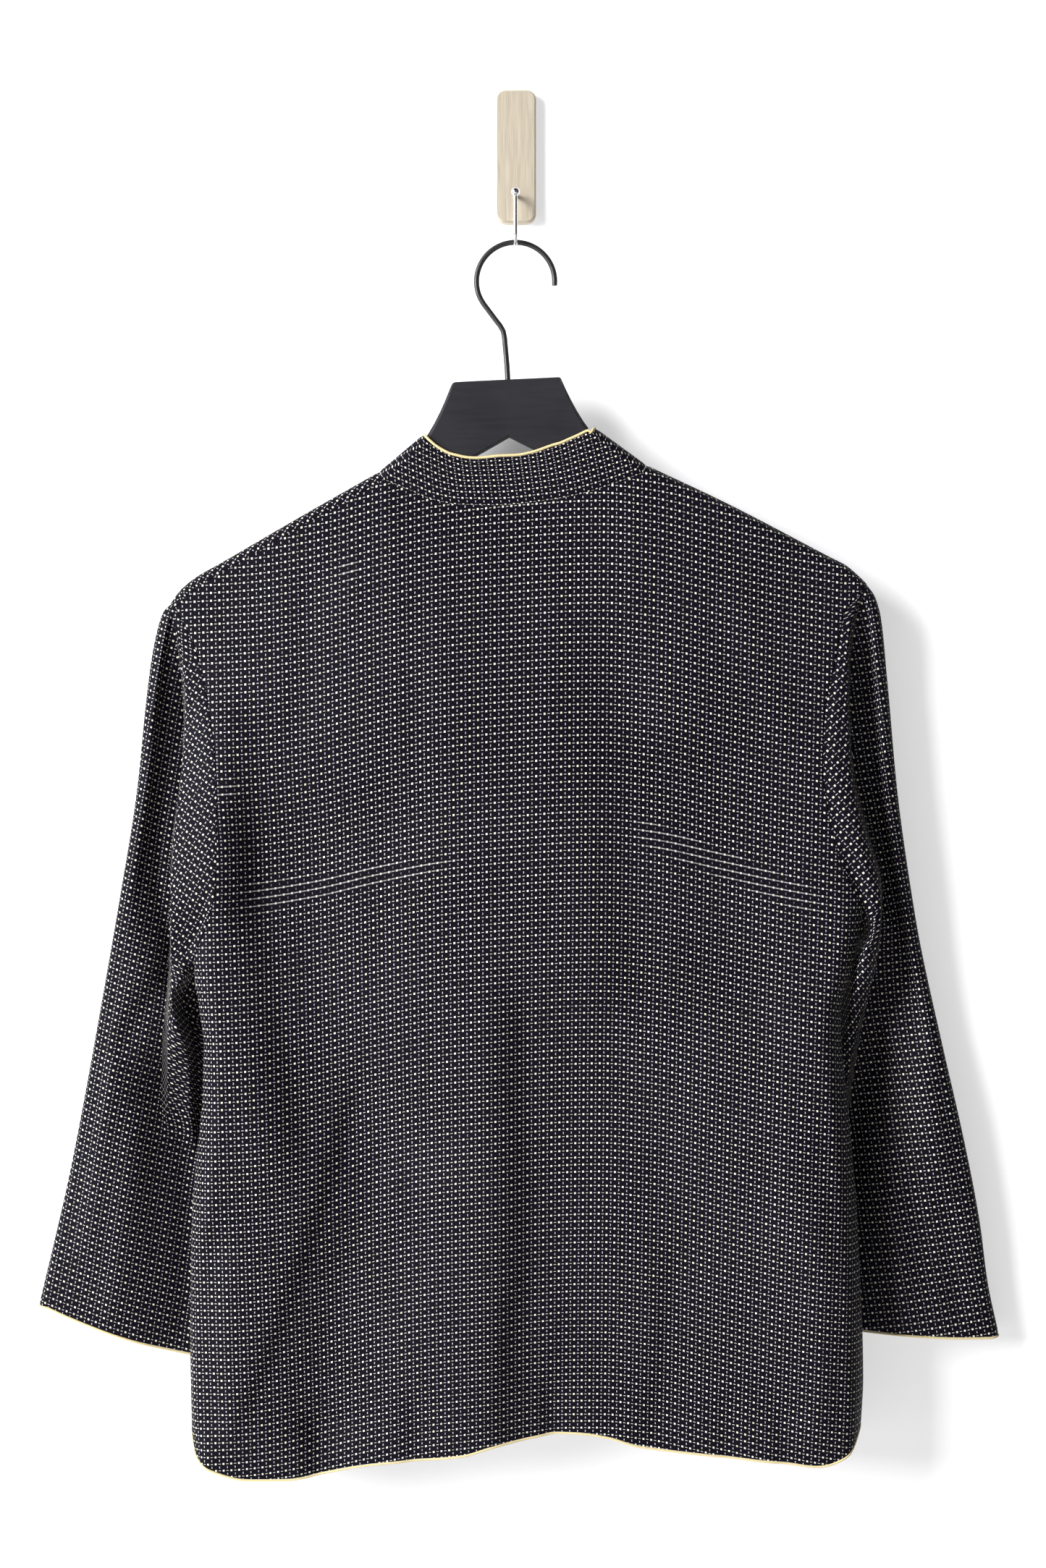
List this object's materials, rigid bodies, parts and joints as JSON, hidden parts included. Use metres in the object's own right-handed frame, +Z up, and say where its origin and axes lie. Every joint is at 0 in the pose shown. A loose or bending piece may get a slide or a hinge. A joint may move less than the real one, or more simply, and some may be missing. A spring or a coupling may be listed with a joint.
{
  "type": "silk jacket on a hanger and wall hook",
  "caption": "Hip-length patterned silk jacket with a stand collar and long sleeves, hung on a flat wooden hanger from a small metal wall hook.",
  "frame": {"origin": "centre of the wall plate's back face, where it meets the wall", "axes": "+Y into the wall, +Z up, +X to the right for someone looking at the jacket's back"},
  "size_m": [0.6774, 0.0727, 0.9742],
  "materials": {
    "silk": "near-black silk with a small woven repeat of white dashes and cream squares",
    "cream": "pale cream cord",
    "hanger_black": "matte black paint",
    "hanger_wire": "satin black",
    "chrome": "polished",
    "brushed_nickel": "fine brushed"
  },
  "bodies": {
    "root": {"back": "silk", "front_left": "silk", "front_right": "silk", "sleeve_left": "silk", "sleeve_right": "silk", "collar": "silk", "collar_piping": "cream", "hem_edging": "cream", "cuff_edging_left": "cream", "cuff_edging_right": "cream", "hanger_body": "hanger_black", "hanger_hook": "hanger_wire", "wall_hook": "chrome", "wall_plate": "brushed_nickel"}
  },
  "joints": []
}
